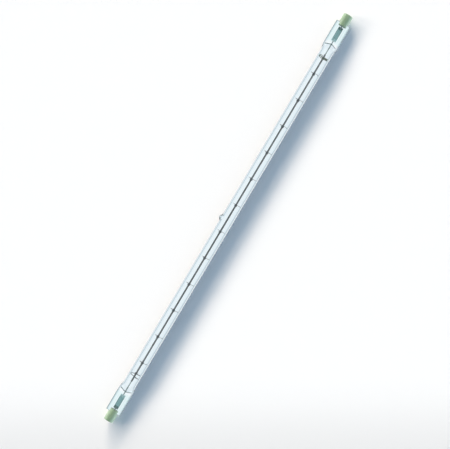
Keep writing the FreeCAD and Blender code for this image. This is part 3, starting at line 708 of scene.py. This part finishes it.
def cap_skin(sign):
    """Columns at fixed angles round the lamp, each a closed line of points: up the pin hole, out over the
    contact's seat and the recess, down the outside, over the end of a jaw, along the slot's flat side and
    back over the slot's bottom. Columns beside the slot have no jaw, so there its rows fall together on the
    slot's bottom."""
    corner = np.arcsin(SLOT_HALF_HEIGHT / CAP_RADIUS)
    jaw = np.linspace(corner, np.pi - corner, JAW_COLUMNS)
    beside = np.linspace(-corner, corner, BESIDE_COLUMNS)
    angle = np.concatenate([beside, jaw, beside + np.pi, jaw + np.pi])
    has_jaw = np.tile(np.repeat([0, 1], [BESIDE_COLUMNS, JAW_COLUMNS]), 2)
    cosine, sine = np.cos(angle), np.sin(angle)
    inner_x = np.where(has_jaw, CAP_INNER_END, SLOT_BOTTOM)
    chord_z = np.where(has_jaw, np.sign(sine) * SLOT_HALF_HEIGHT, CAP_RADIUS * sine)
    turned = [
        (SLOT_BOTTOM, PIN_HOLE_RADIUS),
        (CONTACT_BACK, PIN_HOLE_RADIUS),
        (CONTACT_BACK, CONTACT_SEAT_RADIUS),
        (CONTACT_FACE, CONTACT_SEAT_RADIUS),
        (CONTACT_FACE, RECESS_RADIUS),
        (CAP_OUTER_END, RECESS_RADIUS),
        (CAP_OUTER_END, CAP_RADIUS - CAP_BEVEL),
        (CAP_OUTER_END - CAP_BEVEL, CAP_RADIUS),
        (SLOT_BOTTOM, CAP_RADIUS),
    ]
    rows = [np.stack([np.full_like(angle, x), r * cosine, r * sine], axis=-1) for x, r in turned]
    rows.append(np.stack([inner_x, CAP_RADIUS * cosine, CAP_RADIUS * sine], axis=-1))
    rows.append(np.stack([inner_x, CAP_RADIUS * cosine, chord_z], axis=-1))
    rows.append(np.stack([np.full_like(angle, SLOT_BOTTOM), CAP_RADIUS * cosine, chord_z], axis=-1))
    points = np.stack(rows) * np.array([sign, 1, 1])
    count, around = points.shape[:2]
    row = np.arange(count)[:, None]
    here = np.arange(around)[None, :]
    next_row = (row + 1) % count
    after = (here + 1) % around
    corners = [row * around + here, next_row * around + here, next_row * around + after, row * around + after]
    faces = np.stack(corners[::sign], axis=-1).reshape(-1, 4)
    return points.reshape(-1, 3), faces.tolist()


def merge_and_turn_out(mesh):
    """Merges points that fall together, and turns all faces outwards."""
    shape = bmesh.new()
    shape.from_mesh(mesh)
    bmesh.ops.remove_doubles(shape, verts=shape.verts, dist=CAP_MERGE)
    bmesh.ops.recalc_face_normals(shape, faces=shape.faces)
    shape.to_mesh(mesh)
    shape.free()


def fired_grain_group():
    """Grain of pressed and fired mineral: slow noise mixes two shades, small cells give dark specks, and
    fine noise gives the surface's height and roughness."""
    group, given, made = new_group(
        "fired_grain",
        [
            ("Place", "NodeSocketVector"),
            ("Scale", "NodeSocketFloat"),
            ("Shade", "NodeSocketColor"),
            ("Pale", "NodeSocketColor"),
            ("Speck", "NodeSocketColor"),
        ],
        [("Color", "NodeSocketColor"), ("Roughness", "NodeSocketFloat"), ("Height", "NodeSocketFloat")],
    )
    links = group.links
    cloud = group.nodes.new("ShaderNodeTexNoise")
    cloud.inputs["Detail"].default_value = 5
    links.new(given.outputs["Place"], cloud.inputs["Vector"])
    links.new(given.outputs["Scale"], cloud.inputs["Scale"])
    cell_scale = group.nodes.new("ShaderNodeMath")
    cell_scale.operation = "MULTIPLY"
    cell_scale.inputs[1].default_value = SPECK_FINENESS
    links.new(given.outputs["Scale"], cell_scale.inputs[0])
    cells = group.nodes.new("ShaderNodeTexVoronoi")
    links.new(given.outputs["Place"], cells.inputs["Vector"])
    links.new(cell_scale.outputs["Value"], cells.inputs["Scale"])
    speck = group.nodes.new("ShaderNodeMapRange")
    speck.inputs["From Min"].default_value = 0.28
    speck.inputs["From Max"].default_value = 0.14
    speck.inputs["To Max"].default_value = SPECK_SHARE
    links.new(cells.outputs["Distance"], speck.inputs["Value"])
    grain = group.nodes.new("ShaderNodeTexNoise")
    grain.inputs["Detail"].default_value = 3
    links.new(given.outputs["Place"], grain.inputs["Vector"])
    links.new(cell_scale.outputs["Value"], grain.inputs["Scale"])
    shades = group.nodes.new("ShaderNodeMix")
    shades.data_type = "RGBA"
    links.new(cloud.outputs["Fac"], shades.inputs["Factor"])
    links.new(given.outputs["Shade"], shades.inputs["A"])
    links.new(given.outputs["Pale"], shades.inputs["B"])
    speckled = group.nodes.new("ShaderNodeMix")
    speckled.data_type = "RGBA"
    links.new(speck.outputs["Result"], speckled.inputs["Factor"])
    links.new(shades.outputs["Result"], speckled.inputs["A"])
    links.new(given.outputs["Speck"], speckled.inputs["B"])
    rough = group.nodes.new("ShaderNodeMapRange")
    rough.inputs["To Min"].default_value = 0.5
    rough.inputs["To Max"].default_value = 0.8
    links.new(grain.outputs["Fac"], rough.inputs["Value"])
    links.new(speckled.outputs["Result"], made.inputs["Color"])
    links.new(rough.outputs["Result"], made.inputs["Roughness"])
    links.new(grain.outputs["Fac"], made.inputs["Height"])
    return group


fired_grain = fired_grain_group()


def mineral_material(name, scale, shade, pale, speck, bump):
    """Matt mineral whose colour, roughness and bump come from the grain group."""
    material, tree, shader, place = new_material(name)
    grain = tree.nodes.new("ShaderNodeGroup")
    grain.node_tree = fired_grain
    tree.links.new(place, grain.inputs["Place"])
    grain.inputs["Scale"].default_value = scale
    grain.inputs["Shade"].default_value = shade
    grain.inputs["Pale"].default_value = pale
    grain.inputs["Speck"].default_value = speck
    relief = tree.nodes.new("ShaderNodeBump")
    relief.inputs["Strength"].default_value = bump
    relief.inputs["Distance"].default_value = 0.05 * MM
    tree.links.new(grain.outputs["Height"], relief.inputs["Height"])
    tree.links.new(grain.outputs["Color"], shader.inputs["Base Color"])
    tree.links.new(grain.outputs["Roughness"], shader.inputs["Roughness"])
    tree.links.new(relief.outputs["Normal"], shader.inputs["Normal"])
    return material


def cap_material():
    """Green steatite that lets some light in under its skin, with painted light that makes both flanks paler
    than the top.
    """
    material = mineral_material(
        "cap_ceramic", scale=250, shade=CAP_SHADE, pale=CAP_PALE, speck=CAP_SPECK, bump=0.3
    )
    tree = material.node_tree
    shader = tree.nodes["Principled BSDF"]
    colour = tree.nodes["Group"].outputs["Color"]
    # Painted light: the cap turns paler towards both flanks, away from its top.
    colour = tint_band(tree, "Y", PAINTED_LIGHT_FROM, PAINTED_LIGHT_TO, PAINTED_LIGHT_SHARE, CAP_PAINTED_LIGHT, colour)
    tree.links.new(colour, shader.inputs["Base Color"])
    shader.inputs["Subsurface Weight"].default_value = 0.6
    shader.inputs["Subsurface Radius"].default_value = (1, 1, 1)
    shader.inputs["Subsurface Scale"].default_value = 2 * MM
    return material


cap_ceramic = cap_material()
for end, sign in ENDS:
    cap = new_piece(f"{end}_cap_body", *cap_skin(sign), cap_ceramic, "cap_ceramic", f"{end}_cap")
    merge_and_turn_out(cap.data)
    rims = cap.modifiers.new("worn_rims", "BEVEL")
    rims.width = CAP_RIM_WEAR
    rims.segments = 3
    rims.limit_method = "ANGLE"
    rims.angle_limit = CAP_RIM_ANGLE
    rims.harden_normals = True

# Contacts: turned nickel buttons at the bottom of the caps' recesses, which the holder's plungers press on.
# Their faces have fine turning rings and a rounded rim.
CONTACT_RADIUS = 2.0 * MM
CONTACT_ROUND = 0.25 * MM
CONTACT_GAP = 0.005 * MM
CONTACT_CENTRE = 0.02 * MM
CONTACT_COLUMNS = 72
CONTACT_RIM_ROWS = 9
CONTACT_FACE_ROWS = 30
NICKEL_DARK = (0.42, 0.41, 0.38, 1)
NICKEL_LIGHT = (0.6, 0.59, 0.55, 1)


def contact_rings(sign):
    """A button turned about the lamp's axis: a straight side, a quarter circle to the face and a flat face,
    as rings of one radius each."""
    bend = np.linspace(0, np.pi / 2, CONTACT_RIM_ROWS)[1:]
    side_x = np.array([CONTACT_BACK + CONTACT_GAP, CONTACT_FACE - CONTACT_ROUND])
    side_r = np.full(2, CONTACT_RADIUS)
    rim_x = CONTACT_FACE - CONTACT_ROUND * (1 - np.sin(bend))
    rim_r = CONTACT_RADIUS - CONTACT_ROUND * (1 - np.cos(bend))
    face_r = np.linspace(CONTACT_RADIUS - CONTACT_ROUND, CONTACT_CENTRE, CONTACT_FACE_ROWS)[1:]
    face_x = np.full_like(face_r, CONTACT_FACE)
    x = np.concatenate([side_x, rim_x, face_x])
    r = np.concatenate([side_r, rim_r, face_r])
    turn = np.linspace(0, 2 * np.pi, CONTACT_COLUMNS, endpoint=False)
    rings = np.empty((len(x), len(turn), 3))
    rings[..., 0] = x[:, None]
    rings[..., 1] = r[:, None] * np.cos(turn)
    rings[..., 2] = r[:, None] * np.sin(turn)
    return at_end(rings, sign)


def contact_material():
    """Nickel with turning rings: a fine wave of the distance from the axis as bump over the mottling."""
    material = drawn_wire(
        "contact_nickel", scale=300, dark=NICKEL_DARK, light=NICKEL_LIGHT, smooth=0.25, dull=0.4, bump=0.2
    )
    tree = material.node_tree
    place = tree.nodes["Texture Coordinate"].outputs["Object"]
    turning = tree.nodes.new("ShaderNodeTexWave")
    turning.wave_type = "RINGS"
    turning.rings_direction = "X"
    turning.inputs["Scale"].default_value = 900
    turning.inputs["Distortion"].default_value = 0.4
    tree.links.new(place, turning.inputs["Vector"])
    cut = tree.nodes.new("ShaderNodeBump")
    cut.inputs["Strength"].default_value = 0.25
    cut.inputs["Distance"].default_value = 0.01 * MM
    tree.links.new(turning.outputs["Fac"], cut.inputs["Height"])
    tree.links.new(tree.nodes["Bump"].outputs["Normal"], cut.inputs["Normal"])
    tree.links.new(cut.outputs["Normal"], tree.nodes["Principled BSDF"].inputs["Normal"])
    return material


nickel = contact_material()
for end, sign in ENDS:
    contact_skin = closed_skin(contact_rings(sign))
    new_piece(f"{end}_contact_button", *contact_skin, nickel, "contact_nickel", f"{end}_contact")

# Cement: a pale, sandy ceramic cement that was pressed into each cap's slot and baked. It holds the pinch
# in the cap and shows only as a thin line on both sides of the quartz.
CEMENT_SHADE = (0.5, 0.49, 0.43, 1)
CEMENT_PALE = (0.72, 0.71, 0.66, 1)
CEMENT_SPECK = (0.3, 0.28, 0.24, 1)

cement = mineral_material(
    "cement", scale=400, shade=CEMENT_SHADE, pale=CEMENT_PALE, speck=CEMENT_SPECK, bump=0.8
)
for end in ("left", "right"):
    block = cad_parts[f"{end}_cement"]
    block.data.materials.clear()
    block.data.materials.append(cement)

# Floor: a flat white studio sweep that the lamp lies on, with painted shade of a soft grey fold on the near
# side. Glass and metal see it mostly as an even light that is strongest straight up, as a light table's is,
# and the camera sees it with the lamp's shadow.
FLOOR_HEIGHT = -4.77 * MM
FLOOR_REACH = 4.0
FLOOR_WHITE = (0.98, 0.98, 0.98, 1)
# Painted shade: the grey of the band on the floor's near side.
FLOOR_PAINTED_SHADE = (0.84, 0.84, 0.84, 1)
FLOOR_NEAR_SIDE = (-0.86, -0.51, 0)
GREY_FROM = 110 * MM
GREY_TO = 172 * MM
WHITE_AGAIN = 520 * MM
TABLE_UPWARD = (0.97, 0.99, 1.0, 1)
TABLE_SIDEWAYS = (0.6, 0.685, 0.725, 1)
TABLE_SHARE = 0.95
TABLE_FALL_FROM = 0.01
TABLE_FALL_TO = 0.17


def floor_paint(tree):
    """White that falls by a smooth step to painted shade on the near side and back to white by a longer one.
    """
    nodes, links = tree.nodes, tree.links
    nearness = nodes.new("ShaderNodeVectorMath")
    nearness.operation = "DOT_PRODUCT"
    nearness.inputs[1].default_value = FLOOR_NEAR_SIDE
    links.new(nodes.new("ShaderNodeTexCoord").outputs["Object"], nearness.inputs[0])
    painted_shade = nodes.new("ShaderNodeMapRange")
    painted_shade.inputs["From Min"].default_value = GREY_FROM
    painted_shade.inputs["From Max"].default_value = WHITE_AGAIN
    links.new(nearness.outputs["Value"], painted_shade.inputs["Value"])
    paint = nodes.new("ShaderNodeValToRGB")
    paint.color_ramp.interpolation = "EASE"
    paint.color_ramp.elements[0].color = FLOOR_WHITE
    paint.color_ramp.elements[1].color = FLOOR_WHITE
    greyest = paint.color_ramp.elements.new((GREY_TO - GREY_FROM) / (WHITE_AGAIN - GREY_FROM))
    greyest.color = FLOOR_PAINTED_SHADE
    links.new(painted_shade.outputs["Result"], paint.inputs["Fac"])
    return paint.outputs["Color"]


def table_light(tree):
    """A light that goes evenly from its upward colour to its sideways one as the cosine of the angle from
    upright falls."""
    nodes, links = tree.nodes, tree.links
    fall = nodes.new("ShaderNodeMapRange")
    fall.inputs["From Min"].default_value = TABLE_FALL_FROM
    fall.inputs["From Max"].default_value = TABLE_FALL_TO
    links.new(nodes.new("ShaderNodeLayerWeight").outputs["Facing"], fall.inputs["Value"])
    colour = nodes.new("ShaderNodeMix")
    colour.data_type = "RGBA"
    colour.inputs["A"].default_value = TABLE_UPWARD
    colour.inputs["B"].default_value = TABLE_SIDEWAYS
    links.new(fall.outputs["Result"], colour.inputs["Factor"])
    even = nodes.new("ShaderNodeEmission")
    links.new(colour.outputs["Result"], even.inputs["Color"])
    return even.outputs["Emission"]


def from_glass_or_metal(tree, rays):
    """One for rays that come from glass or metal, and nought for others."""
    either = tree.nodes.new("ShaderNodeMath")
    either.operation = "MAXIMUM"
    tree.links.new(rays.outputs["Is Glossy Ray"], either.inputs[0])
    tree.links.new(rays.outputs["Is Transmission Ray"], either.inputs[1])
    return either.outputs["Value"]


def floor_material():
    """The matt floor paint, mixed with the table's light for rays that come from glass and metal."""
    material = bpy.data.materials.new("studio_floor")
    material.use_nodes = True
    tree = material.node_tree
    nodes, links = tree.nodes, tree.links
    nodes.clear()
    matt = nodes.new("ShaderNodeBsdfDiffuse")
    links.new(floor_paint(tree), matt.inputs["Color"])
    share = nodes.new("ShaderNodeMath")
    share.operation = "MULTIPLY"
    share.inputs[1].default_value = TABLE_SHARE
    links.new(from_glass_or_metal(tree, nodes.new("ShaderNodeLightPath")), share.inputs[0])
    mix = nodes.new("ShaderNodeMixShader")
    links.new(share.outputs["Value"], mix.inputs["Fac"])
    links.new(matt.outputs["BSDF"], mix.inputs[1])
    links.new(table_light(tree), mix.inputs[2])
    links.new(mix.outputs["Shader"], nodes.new("ShaderNodeOutputMaterial").inputs["Surface"])
    return material


floor_mesh = bpy.data.meshes.new("studio_floor")
floor_corners = np.array([[-1, -1, 0], [1, -1, 0], [1, 1, 0], [-1, 1, 0]]) * FLOOR_REACH
floor_corners[:, 2] = FLOOR_HEIGHT
floor_mesh.from_pydata(floor_corners.tolist(), [], [[0, 1, 2, 3]])
floor_mesh.materials.append(floor_material())
floor = bpy.data.objects.new("studio_floor", floor_mesh)
bpy.context.scene.collection.objects.link(floor)

# Light: a long, soft and slightly warm key low over the floor, made of two rows of suns that each throw the
# shadow as far across the lamp, and a cool fill, half from the sky and half from a low sun on the other
# side of the lamp, without shadow.
KEY_ON_FLOOR = 2.3
KEY_COLOUR = (0.985, 0.866, 0.732)
KEY_LOW = {"row": "low", "elevation": math.radians(24.7), "spread": math.radians(12), "share": 0.63}
KEY_HIGH = {"row": "high", "elevation": math.radians(35), "spread": math.radians(16), "share": 0.37}
KEY_SWEEP = (-20, 5, 26, 44, 56)
SIDE_ON_FLOOR = 0.6
SIDE_COLOUR = (0.82, 0.81, 0.84)
SIDE_ELEVATION = math.radians(8)
SIDE_SPREAD = math.radians(10)
FILL_TOP = (0.113, 0.198, 0.281, 1)
FILL_EDGE = (0.181, 0.317, 0.45, 1)
SKY_TOP = (1.0, 1.0, 1.0, 1)
SKY_EDGE = (0.45, 0.52, 0.56, 1)
PLAIN_WHITE = (1.0, 1.0, 1.0, 1)


def add_sun(name, on_floor, colour, spread, elevation, turn):
    """A sun at an elevation, and at a turn from +X towards +Y, that glass and metal don't mirror. Its
    strength is the light that it gives the floor over the sine of its elevation."""
    light = bpy.data.lights.new(name, "SUN")
    light.energy = on_floor / math.sin(elevation)
    light.color = colour
    light.angle = spread
    lamp = bpy.data.objects.new(name, light)
    lamp.rotation_euler = (0, math.pi / 2 - elevation, turn)
    lamp.visible_transmission = False
    lamp.visible_glossy = False
    bpy.context.scene.collection.objects.link(lamp)
    return light


def add_key_row(row, elevation, spread, share):
    """A row of suns that are turned from straight across the lamp. The tangent of each one's elevation is
    the row's times the cosine of its turn, so that all shadows reach as far across."""
    for number, degrees in enumerate(KEY_SWEEP, start=1):
        sweep = math.radians(degrees)
        sun_elevation = math.atan(math.tan(elevation) * math.cos(sweep))
        on_floor = KEY_ON_FLOOR * share / len(KEY_SWEEP)
        add_sun(f"key_{row}_{number}", on_floor, KEY_COLOUR, spread, sun_elevation, math.pi / 2 - sweep)


add_key_row(**KEY_LOW)
add_key_row(**KEY_HIGH)
side_light = add_sun("side_fill", SIDE_ON_FLOOR, SIDE_COLOUR, SIDE_SPREAD, SIDE_ELEVATION, -math.pi / 2)
side_light.use_shadow = False


def colour_mix(tree, mask, without, within):
    """The first colour where the mask is nought, the second where it is one, and an even mix between."""
    mix = tree.nodes.new("ShaderNodeMix")
    mix.data_type = "RGBA"
    tree.links.new(mask, mix.inputs["Factor"])
    feed(tree.links, without, mix.inputs["A"])
    feed(tree.links, within, mix.inputs["B"])
    return mix.outputs["Result"]


def studio_sky():
    """A world that the camera sees as plain white. Rays that come straight from glass and metal see a
    bright sky, and all others the fill, both going evenly from the horizon's colour to the zenith's with
    the height of the direction."""
    world = bpy.data.worlds.new("studio")
    world.use_nodes = True
    tree = world.node_tree
    nodes, links = tree.nodes, tree.links
    nodes.clear()
    way = nodes.new("ShaderNodeSeparateXYZ")
    links.new(nodes.new("ShaderNodeTexCoord").outputs["Generated"], way.inputs["Vector"])
    rays = nodes.new("ShaderNodeLightPath")
    not_from_matt = nodes.new("ShaderNodeMath")
    not_from_matt.operation = "LESS_THAN"
    not_from_matt.inputs[1].default_value = 0.5
    links.new(rays.outputs["Diffuse Depth"], not_from_matt.inputs[0])
    sky_seen = nodes.new("ShaderNodeMath")
    sky_seen.operation = "MULTIPLY"
    links.new(from_glass_or_metal(tree, rays), sky_seen.inputs[0])
    links.new(not_from_matt.outputs["Value"], sky_seen.inputs[1])
    fill = colour_mix(tree, way.outputs["Z"], FILL_EDGE, FILL_TOP)
    bright = colour_mix(tree, way.outputs["Z"], SKY_EDGE, SKY_TOP)
    colour = colour_mix(tree, sky_seen.outputs["Value"], fill, bright)
    colour = colour_mix(tree, rays.outputs["Is Camera Ray"], colour, PLAIN_WHITE)
    sky = nodes.new("ShaderNodeBackground")
    links.new(colour, sky.inputs["Color"])
    links.new(sky.outputs["Background"], nodes.new("ShaderNodeOutputWorld").inputs["Surface"])
    return world


bpy.context.scene.world = studio_sky()

# Camera: straight above the lamp, turned so that the lamp runs from the lower left to the upper right. It
# stands more than a metre away and has a long lens, so that both ends are seen nearly from above.
LENS = 120
SENSOR = 36
FIELD = 316.0 * MM
CAMERA_PLACE = (-5.12 * MM, -0.31 * MM)
CAMERA_TURN = math.radians(-59.32)

lens = bpy.data.cameras.new("camera")
lens.lens = LENS
lens.sensor_width = SENSOR
camera = bpy.data.objects.new("camera", lens)
camera.location = (*CAMERA_PLACE, FIELD * LENS / SENSOR)
camera.rotation_euler = (0, 0, CAMERA_TURN)
bpy.context.scene.collection.objects.link(camera)
bpy.context.scene.camera = camera
bpy.context.scene.view_settings.view_transform = "Standard"
